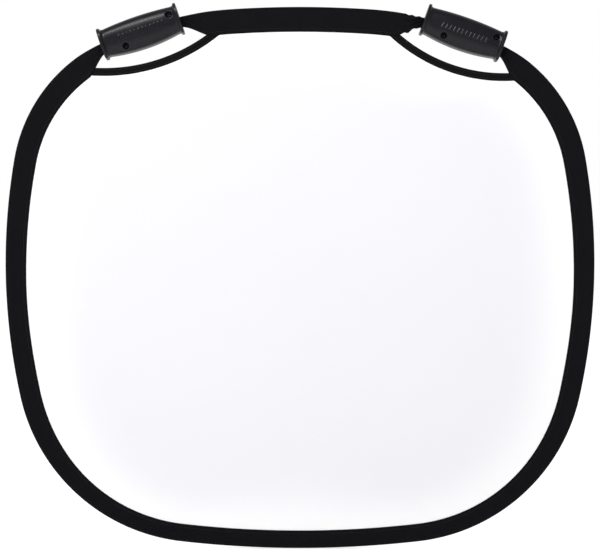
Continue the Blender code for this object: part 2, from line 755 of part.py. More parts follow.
def main():
    clear_scene()
    steel = make_material("spring_steel", (0.42, 0.42, 0.44), 0.35, 1.0)
    dark_steel = make_material("blackened_screw", (0.05, 0.05, 0.055), 0.4, 1.0)
    sleeve_cloth = make_material("black_nylon", (0.010, 0.010, 0.013), 0.75)
    tape = make_material("black_tape", (0.008, 0.008, 0.010), 0.8)
    plastic = make_material("black_grip_plastic", (0.020, 0.020, 0.024), 0.45)
    finishes = {
        "white": make_material("white_fabric", (0.92, 0.92, 0.95), 0.8),
        "silver": make_material("silver_fabric", (0.62, 0.63, 0.65), 0.35, 0.8),
    }
    zones = make_zones()
    make_band(zones, steel)
    make_ferrule(steel)
    make_sleeve(zones, sleeve_cloth)
    make_sheets(zones, finishes)
    make_bindings(tape)
    make_grips(plastic, dark_steel)


main()
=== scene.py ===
"""Looks of a collapsible two-sided light reflector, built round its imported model.

Metres, in the model's own frame: the disc lies in the XZ plane and its white side faces -Y.
"""

import json
import math

import bmesh
import bpy
import numpy as np
from mathutils import Matrix, Vector

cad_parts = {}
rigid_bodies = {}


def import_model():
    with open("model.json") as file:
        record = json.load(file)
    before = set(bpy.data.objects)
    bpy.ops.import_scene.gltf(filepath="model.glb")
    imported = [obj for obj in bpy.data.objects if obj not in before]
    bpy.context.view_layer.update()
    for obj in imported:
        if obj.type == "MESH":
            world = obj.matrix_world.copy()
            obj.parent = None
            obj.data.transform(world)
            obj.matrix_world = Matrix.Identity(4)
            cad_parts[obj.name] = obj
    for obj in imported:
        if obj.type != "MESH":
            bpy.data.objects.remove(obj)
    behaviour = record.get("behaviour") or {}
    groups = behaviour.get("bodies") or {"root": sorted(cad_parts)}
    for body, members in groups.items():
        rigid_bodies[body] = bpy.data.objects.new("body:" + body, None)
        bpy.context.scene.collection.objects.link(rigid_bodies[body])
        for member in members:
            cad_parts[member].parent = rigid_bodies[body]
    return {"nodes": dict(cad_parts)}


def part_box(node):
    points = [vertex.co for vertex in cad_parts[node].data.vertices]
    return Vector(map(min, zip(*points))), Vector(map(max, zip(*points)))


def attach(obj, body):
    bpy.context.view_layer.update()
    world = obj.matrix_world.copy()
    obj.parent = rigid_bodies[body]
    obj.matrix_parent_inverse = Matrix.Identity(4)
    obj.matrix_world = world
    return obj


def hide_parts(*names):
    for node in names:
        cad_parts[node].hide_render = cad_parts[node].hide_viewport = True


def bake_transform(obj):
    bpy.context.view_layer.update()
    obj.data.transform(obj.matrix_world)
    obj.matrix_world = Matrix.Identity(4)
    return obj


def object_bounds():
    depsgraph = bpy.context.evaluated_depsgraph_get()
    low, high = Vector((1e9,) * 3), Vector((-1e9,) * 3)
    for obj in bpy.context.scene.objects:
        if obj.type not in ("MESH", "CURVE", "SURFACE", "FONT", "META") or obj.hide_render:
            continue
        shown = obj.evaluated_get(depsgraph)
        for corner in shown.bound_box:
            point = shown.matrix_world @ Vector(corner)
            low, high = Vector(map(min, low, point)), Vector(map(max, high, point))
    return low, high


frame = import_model()
model_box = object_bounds()

# ---------------------------------------------------------------- Room
# A white studio: a white floor that the disc stands on and white all round, but dimmer in front as the
# disc is lit by it. A large soft light stands up to the left and a narrow one draws the shine along the
# grips.

scene = bpy.context.scene
scene.view_settings.view_transform = "Standard"

VIEW_MARGIN = 1.0201
VIEW_WIDTH = VIEW_MARGIN * (model_box[1].x - model_box[0].x)
CAMERA_AWAY = 1.6
VIEW_RISE = -0.0018
FLOOR_RADIUS, FLOOR_SIDES = 30.0, 64
FLOOR_DROP = 0.0006
FLOOR_COLOUR, FLOOR_GLOW = (0.6, 0.6, 0.6, 1.0), 0.72
WHITE = (1.0, 1.0, 1.0, 1.0)
GLOW_FROM, GLOW_TO = -0.35, 0.45
FRONT_GLOW, KEY_POWER, EDGE_POWER = 0.3, 14.0, 34.0


def add_light(name, place, aim, size, power):
    """A rectangular soft light at a place, turned to face the point that it is aimed at."""
    lamp = bpy.data.lights.new(name, "AREA")
    lamp.shape = "RECTANGLE"
    lamp.size, lamp.size_y = size
    lamp.energy = power
    holder = bpy.data.objects.new(name, lamp)
    scene.collection.objects.link(holder)
    holder.location = place
    holder.rotation_euler = (Vector(aim) - Vector(place)).to_track_quat("-Z", "Y").to_euler()


camera = bpy.data.objects.new("studio_camera", bpy.data.cameras.new("studio_camera"))
scene.collection.objects.link(camera)
camera.location = (0.0, -CAMERA_AWAY, VIEW_RISE)
camera.rotation_euler = (math.pi / 2, 0.0, 0.0)
camera.data.lens = camera.data.sensor_width * CAMERA_AWAY / VIEW_WIDTH
scene.camera = camera

world = bpy.data.worlds.new("studio_white")
world.use_nodes = True
room = world.node_tree
direction = room.nodes.new("ShaderNodeSeparateXYZ")
room.links.new(room.nodes.new("ShaderNodeTexCoord").outputs["Generated"], direction.inputs[0])
wall = room.nodes.new("ShaderNodeMapRange")
wall.interpolation_type = "SMOOTHSTEP"
wall_range = {"From Min": GLOW_FROM, "From Max": GLOW_TO, "To Min": FRONT_GLOW, "To Max": 1.0}
for socket, value in wall_range.items():
    wall.inputs[socket].default_value = value
room.links.new(direction.outputs["Y"], wall.inputs["Value"])
seen_or_lit = room.nodes.new("ShaderNodeMath")
seen_or_lit.operation = "MAXIMUM"
room.links.new(room.nodes.new("ShaderNodeLightPath").outputs["Is Camera Ray"], seen_or_lit.inputs[0])
room.links.new(wall.outputs["Result"], seen_or_lit.inputs[1])
room.links.new(seen_or_lit.outputs[0], room.nodes["Background"].inputs["Strength"])
room.nodes["Background"].inputs["Color"].default_value = WHITE
scene.world = world

add_light("key_light", (-1.5, -2.2, 2.3), (0.0, 0.0, 0.0), (1.6, 1.2), KEY_POWER)
add_light("edge_light", (-0.74, -1.97, 1.78), (-0.2, 0.0, 0.33), (1.3, 0.2), EDGE_POWER)

floor_turn = np.linspace(0.0, 2 * math.pi, FLOOR_SIDES, endpoint=False)
floor_x, floor_y = FLOOR_RADIUS * np.cos(floor_turn), FLOOR_RADIUS * np.sin(floor_turn)
floor_points = np.stack([floor_x, floor_y, np.full(FLOOR_SIDES, model_box[0].z - FLOOR_DROP)], -1)
floor_mesh = bpy.data.meshes.new("studio_floor")
floor_mesh.from_pydata(floor_points.tolist(), [], [tuple(range(FLOOR_SIDES))])
floor = bpy.data.objects.new("studio_floor", floor_mesh)
scene.collection.objects.link(floor)
floor_paint = bpy.data.materials.new("floor_white")
floor_paint.use_nodes = True
floor_shader = floor_paint.node_tree.nodes["Principled BSDF"]
floor_shader.inputs["Base Color"].default_value = FLOOR_COLOUR
floor_shader.inputs["Roughness"].default_value = 1.0
floor_shader.inputs["Specular IOR Level"].default_value = 0.0
floor_shader.inputs["Emission Color"].default_value = WHITE
floor_shader.inputs["Emission Strength"].default_value = FLOOR_GLOW
floor_mesh.materials.append(floor_paint)

# ---------------------------------------------------------------- Spring band
# A flat strip of blued spring steel, stood on edge all round the disc inside the sleeve. It holds the
# cloth tight and lets the disc be bent and coiled. Its ends meet at the foot.

CROWN_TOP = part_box("rim_sleeve_crown")[1].z
FOOT_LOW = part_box("rim_sleeve_foot")[0].z
HALF_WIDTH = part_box("rim_sleeve_right_side")[1].x
ARC_TURNS = np.radians([0.0, 6.5, 77.4, 99.7, 155.2, 176.2, 180.0])
CORNER_SHARE, SHOULDER_SHARE, GRIP_RUN_SHARE = 0.3442, 0.2925, 0.6612
BAND_INSET = 0.004
BAND_SIZE = (0.008, 0.0009)
BAND_END_GAP = 0.0006
BAND_EDGE_ROUND = 0.3
BAND_STEPS, BAND_COLUMNS = 700, 5
SHARP_ANGLE = math.radians(40)
BEND_START, BEND_END = 0.018, 0.158


def solve_arcs():
    """Radii of the six arcs. Three are set shares of the hoop's height. The other three make the arcs'
    runs across and up add up to half the hoop's width and its full height, and bring the crown back to
    the middle."""
    across = np.sin(ARC_TURNS[1:]) - np.sin(ARC_TURNS[:-1])
    up = np.cos(ARC_TURNS[:-1]) - np.cos(ARC_TURNS[1:])
    to_side = np.array([across[0], across[1], 1.0 - math.sin(ARC_TURNS[2]), 0.0, 0.0, 0.0])
    tall = CROWN_TOP - FOOT_LOW
    radii = tall * np.array([0.0, CORNER_SHARE, 0.0, SHOULDER_SHARE, GRIP_RUN_SHARE, 0.0])
    rules = np.array([to_side, across, up])
    wanted = np.array([HALF_WIDTH, 0.0, tall]) - rules @ radii
    radii[[0, 2, 5]] = np.linalg.solve(rules[:, [0, 2, 5]], wanted)
    return radii


ARC_RADII = solve_arcs()
ARC_LENGTHS = ARC_RADII * np.diff(ARC_TURNS)
ARC_STARTS = np.cumsum(ARC_LENGTHS) - ARC_LENGTHS
HALF_ROUND = ARC_LENGTHS.sum()


def hoop(run, inset, side):
    """Points (x, z) at lengths run from the foot along the outer edge, set in from it. Each arc adds
    its radius times the change in the sine of the heading to x, and in the cosine to z; the inset goes
    square to the edge."""
    turned = np.clip(np.asarray(run)[..., None] - ARC_STARTS, 0.0, ARC_LENGTHS) / ARC_RADII
    begin = ARC_TURNS[:-1]
    x = (ARC_RADII * (np.sin(begin + turned) - np.sin(begin))).sum(-1)
    z = FOOT_LOW + (ARC_RADII * (np.cos(begin) - np.cos(begin + turned))).sum(-1)
    heading = turned.sum(-1)
    x, z = side * (x - inset * np.sin(heading)), z + inset * np.cos(heading)
    return np.stack(np.broadcast_arrays(x, z), -1)


def upright(flat, y):
    """Points (x, y, z) from points (x, z) and their depths y."""
    x, depth, z = np.broadcast_arrays(flat[..., 0], y, flat[..., 1])
    return np.stack([x, depth, z], -1)


def smooth(share):
    """0 below 0, 1 above 1, and three squares less two cubes between, so both ends are level."""
    share = np.clip(share, 0.0, 1.0)
    return share * share * (3.0 - 2.0 * share)


def put_in_mesh(name, points, quads, uv, finish):
    """An object from points and four-sided faces, turned so that its volume, the sum over the faces'
    triangles of a dot (b cross c) over 6, is positive. uv holds each point's (along, across) in
    metres."""
    corners = points[quads]
    volume = sum(np.einsum("ij,ij->", corners[:, 0], np.cross(corners[:, k], corners[:, k + 1]))
                 for k in (1, 2))
    quads = quads[:, ::-1] if volume < 0 else quads
    mesh = bpy.data.meshes.new(name)
    mesh.vertices.add(len(points))
    mesh.vertices.foreach_set("co", points.ravel())
    mesh.loops.add(quads.size)
    mesh.loops.foreach_set("vertex_index", quads.ravel().astype(np.int32))
    mesh.polygons.add(len(quads))
    mesh.polygons.foreach_set("loop_start", np.arange(0, quads.size, 4, dtype=np.int32))
    mesh.update(calc_edges=True)
    lay = mesh.uv_layers.new(name="weave")
    lay.data.foreach_set("uv", uv[quads.ravel()].ravel().astype(np.float32))
    mesh.shade_smooth()
    mesh.set_sharp_from_angle(angle=SHARP_ANGLE)
    if finish:
        mesh.materials.append(finish)
    made = bpy.data.objects.new(name, mesh)
    scene.collection.objects.link(made)
    return made


def two_faced(name, face, lining, uv, finish):
    """A closed piece between two grids of points of one size: both grids, and walls between their
    borders."""
    rows, columns = face.shape[:2]
    number = np.arange(rows * columns).reshape(rows, columns)
    quads = np.stack([number[:-1, :-1], number[1:, :-1], number[1:, 1:], number[:-1, 1:]], -1)
    quads = quads.reshape(-1, 4)
    border = np.concatenate([number[:, 0], number[-1, 1:], number[-2::-1, -1], number[0, -2:0:-1]])
    after = np.roll(border, -1)
    far = rows * columns
    walls = np.stack([after, border, border + far, after + far], -1)
    points = np.concatenate([face.reshape(-1, 3), lining.reshape(-1, 3)])
    both = np.concatenate([quads, quads[:, ::-1] + far, walls])
    return put_in_mesh(name, points, both, np.tile(uv.reshape(-1, 2), (2, 1)), finish)


def bend_with(piece, side):
    """Bakes the piece's placement into its points. It does not turn with the wing on its side: the wing and
    the bend's start and end are found but not used.
    """
    wing = "left_wing" if side < 0 else "right_wing"
    side * BEND_START
    side * BEND_END
    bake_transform(piece)


class Wire:
    """One output of a shader node. Arithmetic on it adds Math nodes, and node() adds any other node."""

    def __init__(self, tree, socket=None):
        self.tree = tree
        self.socket = socket

    def node(self, kind, settings, sockets, output=0):
        """A new node: its settings first, with a ramp's stops, and then its sockets' values or
        links."""
        made = self.tree.nodes.new("ShaderNode" + kind)
        for name, value in settings.items():
            if name != "stops":
                setattr(made, name, value)
        for k, (place, shade) in enumerate(settings.get("stops", ())):
            stop = made.color_ramp.elements[k] if k < 2 else made.color_ramp.elements.new(place)
            stop.position = place
            stop.color = (shade, shade, shade, 1.0)
        for name, value in sockets.items():
            if isinstance(value, Wire):
                self.tree.links.new(value.socket, made.inputs[name])
            else:
                made.inputs[name].default_value = value
        return Wire(self.tree, made.outputs[output])

    def math(self, operation, *values):
        return self.node("Math", {"operation": operation}, dict(enumerate(values)))

    def __add__(self, other):
        return self.math("ADD", self, other)

    __radd__ = __add__

    def __mul__(self, other):
        return self.math("MULTIPLY", self, other)

    __rmul__ = __mul__

    def __sub__(self, other):
        return self.math("SUBTRACT", self, other)

    def __rsub__(self, other):
        return self.math("SUBTRACT", other, self)

    def sine(self):
        return self.math("SINE", self)

    def part(self, axis):
        return self.node("SeparateXYZ", {}, {0: self}, output=axis)

    def colour(self, low, high):
        """Runs from the low colour to the high one as this wire goes from 0 to 1."""
        return self.node("Mix", {"data_type": "RGBA"}, {0: self, 6: (*low, 1.0), 7: (*high, 1.0)}, output=2)

    def noise(self, scale, detail=2.0, rough=0.5):
        """A cloudy pattern from 0 to 1, with so many lumps a metre."""
        sockets = {"Vector": self, "Scale": scale, "Detail": detail, "Roughness": rough}
        return self.node("TexNoise", {}, sockets)

    def bumps(self, height):
        """A Normal that takes this wire, from 0 to 1, as relief of that height in metres."""
        return self.node("Bump", {}, {"Height": self, "Distance": height, "Strength": 1.0})


def new_finish(name, **even):
    """A material, a wire to build on and its shader. The even values are the same all over the
    surface."""
    finish = bpy.data.materials.new(name)
    finish.use_nodes = True
    shader = finish.node_tree.nodes["Principled BSDF"]
    for socket, value in even.items():
        shader.inputs[socket.replace("_", " ")].default_value = value
    return finish, Wire(finish.node_tree), shader


def feed(shader, **wires):
    """Links each wire to the shader's socket of that name."""
    for socket, wire in wires.items():
        wire.tree.links.new(wire.socket, shader.inputs[socket.replace("_", " ")])


def spring_steel():
    """Blued steel with long fine rolling marks: noise that is stretched along the strip."""
    finish, start, shader = new_finish("spring_steel_blued", Metallic=1.0)
    along = start.node("UVMap", {"uv_map": "weave"}, {})
    marks = along.node("Mapping", {}, {"Vector": along, "Scale": (30.0, 3000.0, 1.0)}).noise(1.0, 3.0)
    feed(shader, Base_Color=marks.colour((0.16, 0.17, 0.20), (0.30, 0.31, 0.34)),
         Roughness=0.28 + 0.15 * marks, Normal=marks.bumps(0.00002))
    return finish


def band_half(side, word, finish, nodes):
    """Half of the strip: its outer and inner faces are grids of length along the hoop by depth across
    it."""
    wide, thick = BAND_SIZE
    run = np.linspace(BAND_END_GAP / 2, HALF_ROUND, BAND_STEPS)[:, None]
    across = np.linspace(-0.5, 0.5, BAND_COLUMNS)[None, :]
    rounding = BAND_EDGE_ROUND * thick * (2 * np.abs(across)) ** 6
    outer = upright(hoop(run, BAND_INSET - thick / 2 + rounding, side), wide * across)
    inner = upright(hoop(run, BAND_INSET + thick / 2 - rounding, side), wide * across)
    uv = np.stack(np.broadcast_arrays(run, wide * across), -1)
    band = two_faced(f"spring_band_{word}", outer, inner, uv, finish)
    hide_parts(*nodes)
    bend_with(band, side)


band_finish = spring_steel()
band_half(-1, "left", band_finish, ["hoop_band_left", "hoop_band_crown", "hoop_band_foot_left"])
band_half(1, "right", band_finish, ["hoop_band_right", "hoop_band_foot_right"])

# ---------------------------------------------------------------- Ferrule and rivets
# A short tube of thin bright steel that holds the band's two ends together at the foot, with a rivet
# through each end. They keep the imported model's own shapes.


def bright_steel():
    """Bright steel with a worn, slightly blotched polish."""
    finish, start, shader = new_finish("ferrule_bright_steel", Metallic=1.0)
    place = start.node("TexCoord", {}, {}, output=3)
    wear = place.noise(900.0, 4.0, 0.6)
    feed(shader, Base_Color=wear.colour((0.42, 0.42, 0.43), (0.62, 0.62, 0.63)),
         Roughness=0.25 + 0.3 * wear, Normal=wear.bumps(0.00002))
    return finish


ferrule_finish = bright_steel()
for node in ("band_ferrule", "ferrule_rivet_left", "ferrule_rivet_right"):
    metal = frame["nodes"][node]
    metal.data.materials.clear()
    metal.data.materials.append(ferrule_finish)

# ---------------------------------------------------------------- Rim sleeve
# Black woven nylon folded over the band all round and sewn shut along its inner edge, where it also
# holds both sheets. Each side runs from the foot to its grip and on from the grip to the crown. The
# sleeve is bunched into a pleated neck where it goes into a grip.

SLEEVE_FOOT_WIDTH, SLEEVE_CROWN_WIDTH, SLEEVE_GROWTH, SLEEVE_SWELL = 0.0236, 0.0336, 1.3, 0.0024
SLEEVE_HALF = 0.0058
SLEEVE_NOSE = 0.0032
SLEEVE_PLY = 0.0007
TUNNEL_REACH = 0.0062
HEM_HALF = 0.0014
HEM_WIDTH = 0.0046
HEM_SLOT = 0.00078
GROOVE_DEPTH, GROOVE_SPREAD = 0.00055, 0.0008
PUCKER, PUCKER_REACH = 0.00022, 0.004
SLACK = 0.00045
RIPPLE_LENGTHS = (0.0117, 0.0193, 0.0311)
NECK_WIDTH, NECK_INSET, NECK_HALF = 0.0134, 0.0009, 0.0054
GATHER_LENGTH = 0.040
NECK_TUCK = 0.005
PLEATS, PLEAT_HEIGHT = 3.4, 0.0017
LUMP = 0.0024
SIDE_STEPS, TOP_STEPS = 570, 240
GRIP_HALF_LENGTH = 0.05625


def screw_middle(word, number):
    """Middle of one of a grip's screws in (x, z)."""
    low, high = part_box(f"grip_{word}_screw_{number}")
    return (np.array(low) + np.array(high))[[0, 2]] / 2


def grip_frame(word):
    """Centre and axes (along, outward) of a grip in (x, z): the middle of its shells' box, and the line
    between two screws that a half turn puts at one height."""
    low, high = zip(*(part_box(f"grip_{word}_{face}_shell") for face in ("front", "back")))
    centre = (np.array(low).min(0) + np.array(high).max(0))[[0, 2]] / 2
    one, two = (screw_middle(word, number) for number in (1, 3))
    along = (two - one) / np.linalg.norm(two - one)
    return centre, along, np.array([-along[1], along[0]])


def neck_runs(side, word):
    """Lengths along the hoop where it meets the outer faces of a grip's flanges, (outer, inner)."""
    centre, along, _ = grip_frame(word)
    run = np.linspace(0.6, 1.0, 4001) * HALF_ROUND
    reach = (hoop(run, 0.0, side) - centre) @ along * side
    faces = (GRIP_HALF_LENGTH, -GRIP_HALF_LENGTH)
    return tuple(float(np.interp(-face, -reach, run)) for face in faces)


NECKS = {word: neck_runs(side, word) for side, word in ((-1, "left"), (1, "right"))}


def gathered(run, word):
    """1 where the sleeve goes into a grip, falling to 0 over the gathered length, half of it in a
    straight line and half smoothly."""
    outer, inner = NECKS[word]
    share = np.clip(np.maximum(outer - run, run - inner) / GATHER_LENGTH, 0.0, 1.0)
    return 1.0 - 0.5 * smooth(share) - 0.5 * share


def flat_width(run):
    """Width of the sleeve where it lies flat: it grows from foot to crown as a power of the height, and
    swells round the lower corners by a squared sine that is gone at half the height."""
    share = np.clip((hoop(run, 0.0, 1)[..., 1] - FOOT_LOW) / (CROWN_TOP - FOOT_LOW), 0.0, 1.0)
    swell = SLEEVE_SWELL * np.sin(2 * math.pi * np.minimum(share, 0.5)) ** 2
    return SLEEVE_FOOT_WIDTH + (SLEEVE_CROWN_WIDTH - SLEEVE_FOOT_WIDTH) * share ** SLEEVE_GROWTH + swell


def sleeve_width(run, word):
    """Distance from the hoop's outer edge to the sleeve's inner edge."""
    flat = flat_width(run)
    return flat + (NECK_WIDTH - flat) * gathered(run, word)


def ripple(run, seed):
    """Uneven waves along a seam, from -1 to 1: three sines whose lengths share no common measure."""
    short, middling, long = (2 * math.pi * run / length for length in RIPPLE_LENGTHS)
    waves = np.sin(short + seed) + 0.8 * np.sin(middling + 2.3 * seed) + 0.6 * np.sin(long + 4.1 * seed)
    return waves / 2.4


def seam_seed(facing, side):
    """The ripples' seed, which differs between the front and back faces and between the two sides."""
    return np.where(facing < 0, 0.7, 2.9) + 1.3 * side


def lumps(run, path, word, crumple):
    """How far a crumpled neck's outline is pushed in: ripples, of their own at its outer and inner
    edge, that swell over the gathered length and are held still where the cloth is flat and where it
    enters the grip."""
    gather = gathered(run, word)
    loose = smooth((gather - 0.2) / 0.35) * smooth((1.0 - gather) / 0.2)
    far = np.abs(path)
    return LUMP * crumple * loose * ((1.0 - far) * ripple(run, 1.7) + far * ripple(run, 4.6))


def sleeve_half_depth(run, inset, word, seed, fold):
    """Half of the sleeve's depth at an inset. A rounded nose over the band runs down to the hem; a
    groove is pulled in along the seam with puckers beside it; the neck is fuller and has pleats along
    its length."""
    width, gather = sleeve_width(run, word), gathered(run, word)
    start = NECK_INSET * gather
    past = np.clip((inset - start) / (width - start), 0.0, 1.0)
    nose = np.clip(1.0 - (inset - start) / SLEEVE_NOSE, 0.0, 1.0)
    nose = (1.0 - nose ** 2.6) ** (1 / 2.6)
    hem = HEM_HALF + (NECK_HALF - HEM_HALF) * gather
    fall = np.clip((inset - start - TUNNEL_REACH) / (width - start - TUNNEL_REACH), 0.0, 1.0)
    flank = hem + (SLEEVE_HALF - hem) * (1.0 - 0.03 * smooth(past / 0.3)) * (1.0 - fall) ** 1.2
    flat = 1.0 - gather
    groove = width - HEM_WIDTH
    beside = np.abs(inset - groove)
    seam = -GROOVE_DEPTH * np.exp(-((beside / GROOVE_SPREAD) ** 2))
    pucker = PUCKER * ripple(run, seed) * np.exp(-beside / PUCKER_REACH)
    slack = SLACK * ripple(run / 4.7, seed + 1.0) * np.sin(math.pi * past) ** 2
    edge = -0.5 * hem * smooth((past - 0.985) / 0.015)
    drift = 5.0 * run / GATHER_LENGTH
    pleats = np.abs(np.sin(math.pi * (PLEATS * past + 0.35 * np.sin(drift + seed)))) - 0.55
    fullness = gather ** 0.7 * np.sin(math.pi * np.clip(past, 0.04, 0.97)) ** 0.5
    folds = fold * PLEAT_HEIGHT * pleats * fullness
    return (flank + edge + flat * (seam + pucker + slack)) * nose + folds * nose


def nylon():
    """Near-black plain weave: two crossed sines of thread, lengthwise creases and cloudy changes in
    shade."""
    finish, start, shader = new_finish("black_nylon_weave", Specular_IOR_Level=0.10)
    laid = start.node("UVMap", {"uv_map": "weave"}, {})
    place = start.node("TexCoord", {}, {}, output=3)
    thread = 2 * math.pi / 0.0007
    weave = (laid.part(0) * thread).sine() * (laid.part(1) * thread).sine()
    clouds = place.noise(28.0, 3.0)
    creases = laid.node("Mapping", {}, {"Vector": laid, "Scale": (60.0, 140.0, 1.0)}).noise(1.0, 4.0, 0.6)
    shade = 0.5 * clouds + 0.5 * creases
    feed(shader, Base_Color=shade.colour((0.0016, 0.0015, 0.0024), (0.0056, 0.0054, 0.0076)),
         Roughness=0.78 + 0.12 * clouds, Normal=(0.12 * weave + 0.8 * creases).bumps(0.0005))
    return finish


def sleeve_piece(name, side, word, start, end, steps, nodes, finish, fold=1.0, crumple=0.0):
    """One run of sleeve: a cloth folded in two, as a grid of length along the hoop by a path that goes
    from the front hem over the nose to the back hem. The lining is the same path, a ply inside."""
    run = np.linspace(start, end, steps)[:, None]
    width, gather = sleeve_width(run, word), gathered(run, word)
    first = NECK_INSET * gather
    share = np.concatenate([np.linspace(0, 1, 9)[:-1] ** 2 * 0.14, np.linspace(0.14, 0.72, 13)[:-1],
                            np.linspace(0.72, 1.0, 24)])
    path = np.concatenate([-share[::-1], share[1:]])[None, :]
    inset = first + np.abs(path) * (width - first)
    half = sleeve_half_depth(run, inset, word, seam_seed(path, side), fold)
    slot = HEM_SLOT * smooth((inset - first) / SLEEVE_NOSE)
    hollow = np.maximum(half - SLEEVE_PLY * smooth((inset - first) / SLEEVE_NOSE + 0.4), slot)
    inset = inset + lumps(run, path, word, crumple)
    face = upright(hoop(run, inset, side), np.sign(path) * half)
    sunk = inset + SLEEVE_PLY * (1.0 - smooth(4 * np.abs(path)))
    lining = upright(hoop(run, sunk, side), np.sign(path) * np.minimum(hollow, half))
    uv = np.stack(np.broadcast_arrays(run, path * 0.03), -1)
    sleeve = two_faced(name, face, lining, uv, finish)
    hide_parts(*nodes)
    bend_with(sleeve, side)


INNER_NECK = {"left": (1.0, 0.0), "right": (1.8, 1.0)}
sleeve_finish = nylon()
for side, word in ((-1, "left"), (1, "right")):
    outer_neck, inner_neck = NECKS[word]
    sleeve_piece(f"{word}_side_sleeve", side, word, 0.0, outer_neck + NECK_TUCK, SIDE_STEPS,
                 [f"rim_sleeve_{word}_side", "rim_sleeve_foot"], sleeve_finish)
    sleeve_piece(f"{word}_top_sleeve", side, word, inner_neck - NECK_TUCK, HALF_ROUND, TOP_STEPS,
                 [f"rim_sleeve_{word}_top", "rim_sleeve_crown"], sleeve_finish, *INNER_NECK[word])

# ---------------------------------------------------------------- Hem stitching
# One row of black polyester lockstitch in the groove along the sleeve's inner edge, front and back. It
# closes the sleeve and holds both sheets between its two plies.

STITCH_PITCH = 0.0031
STITCH_SIZE = (0.0023, 0.00055, 0.00042)
STITCH_RINGS = ((-1.0, 0.35), (-0.72, 0.85), (0.0, 1.0), (0.72, 0.85), (1.0, 0.35))
STITCH_SIDES = 6
STITCH_PROUD = 0.00012


def stitches(name, middle, along, out, finish, side):
    """One small closed lozenge of thread for each middle point, laid along its direction: rings of six
    points whose size swells towards the middle, with both ends shut."""
    long, wide, high = STITCH_SIZE
    across = np.cross(out, along)
    turn = np.arange(STITCH_SIDES) * 2 * math.pi / STITCH_SIDES
    points = []
    for place, swell in STITCH_RINGS:
        ring = (middle + along * (place * long / 2))[:, None, :]
        ring = ring + across[:, None, :] * (np.cos(turn) * swell * wide / 2)[None, :, None]
        points.append(ring + out[:, None, :] * (np.sin(turn) * swell * high / 2)[None, :, None])
    points = np.stack(points, 1).reshape(-1, 3)
    here = np.arange(STITCH_SIDES)
    after = np.roll(here, -1)
    last = (len(STITCH_RINGS) - 1) * STITCH_SIDES
    one = [[base + a, base + b, base + STITCH_SIDES + b, base + STITCH_SIDES + a]
           for base in range(0, last, STITCH_SIDES) for a, b in zip(here, after)]
    for base in (0, last):
        one += [[base + k for k in (quad if base else quad[::-1])] for quad in ((0, 1, 2, 3), (0, 3, 4, 5))]
    step = last + STITCH_SIDES
    quads = (np.array(one)[None] + step * np.arange(len(middle))[:, None, None]).reshape(-1, 4)
    row = put_in_mesh(name, points, quads, points[:, [0, 2]], finish)
    bend_with(row, side)


def sewing_thread():
    """Black polyester thread: a twist of fine slanting plies with a slight shine."""
    finish, start, shader = new_finish("black_thread", Specular_IOR_Level=0.3)
    place = start.node("TexCoord", {}, {}, output=3)
    twist = ((place.part(0) + place.part(2)) * (2 * math.pi / 0.0004)).sine()
    feed(shader, Base_Color=place.noise(500.0).colour((0.004, 0.004, 0.005), (0.014, 0.014, 0.017)),
         Roughness=0.55 + 0.1 * twist, Normal=twist.bumps(0.00004))
    return finish


def hem_row(name, side, word, start, end, finish):
    """Stitches at even steps along the groove, front and back, each turned along the hoop."""
    run = np.arange(start, end, STITCH_PITCH)
    along = np.gradient(hoop(run, flat_width(run), side), axis=0)
    along = upright(along / np.linalg.norm(along, axis=1, keepdims=True), 0.0)
    inset = sleeve_width(run, word) - HEM_WIDTH
    rows = []
    for facing in (-1.0, 1.0):
        depth = sleeve_half_depth(run, inset, word, seam_seed(facing, side), 1.0) + STITCH_PROUD
        middle = upright(hoop(run, inset, side), facing * depth)
        rows.append((middle, along, np.array([[0.0, facing, 0.0]])))
    middle, along, out = (np.concatenate([np.broadcast_to(row[k], rows[0][0].shape) for row in rows])
                          for k in range(3))
    stitches(name, middle, along, out, finish, side)


thread_finish = sewing_thread()
for side, word in ((-1, "left"), (1, "right")):
    outer_neck, inner_neck = NECKS[word]
    flat_end, flat_start = outer_neck - 0.75 * GATHER_LENGTH, inner_neck + 0.75 * GATHER_LENGTH
    foot, crown = STITCH_PITCH / 2, HALF_ROUND - STITCH_PITCH / 2
    hem_row(f"{word}_side_hem_stitches", side, word, foot, flat_end, thread_finish)
    hem_row(f"{word}_top_hem_stitches", side, word, flat_start, crown, thread_finish)

# ---------------------------------------------------------------- White and silver sheets
# Two sheets of thin coated nylon, white in front and metallised behind, held tight by the band. Their
# edges run between the sleeve's plies, and under each grip they dip below the finger gap into its tape.
# Each is made as a left and a right half that meet on the upright middle line.

GAP_RADIUS = {"left": 0.2380, "right": 0.2160}
GAP_ROOM = {"left": 0.0426, "right": 0.0450}
GAP_LEAN = {"left": 14.9, "right": 18.9}
TAPE_WIDTH = 0.0112
TAPE_TUCK = 0.0025
SHEET_TUCK = 0.0032
SHEET_SIDES = {"white": (-0.0007, -0.0002), "silver": (0.0007, 0.0002)}
SHEET_COLUMNS = 54
SHEET_STEPS_BELOW, SHEET_STEPS_ARC, SHEET_STEPS_ABOVE = 520, 110, 120
GAP_OVERLAP = 0.003
GAP_SEARCH = 0.14
SHEET_WAVE, SHEET_PUCKER, SHEET_PUCKER_REACH = 0.0013, 0.00035, 0.030
SHEET_HELD = 0.004
# How far in from the hem the painted light that brightens the white sheet reaches.
HEM_PAINTED_LIGHT_REACH = 0.045


def gap_centre(side, word):
    """Centre of the arcs that bound the finger gap: out from the grip, on a line that leans to its
    side."""
    centre, _, _ = grip_frame(word)
    lean = math.radians(GAP_LEAN[word])
    out = GAP_RADIUS[word] - GAP_ROOM[word]
    return centre + out * np.array([side * math.sin(lean), math.cos(lean)])


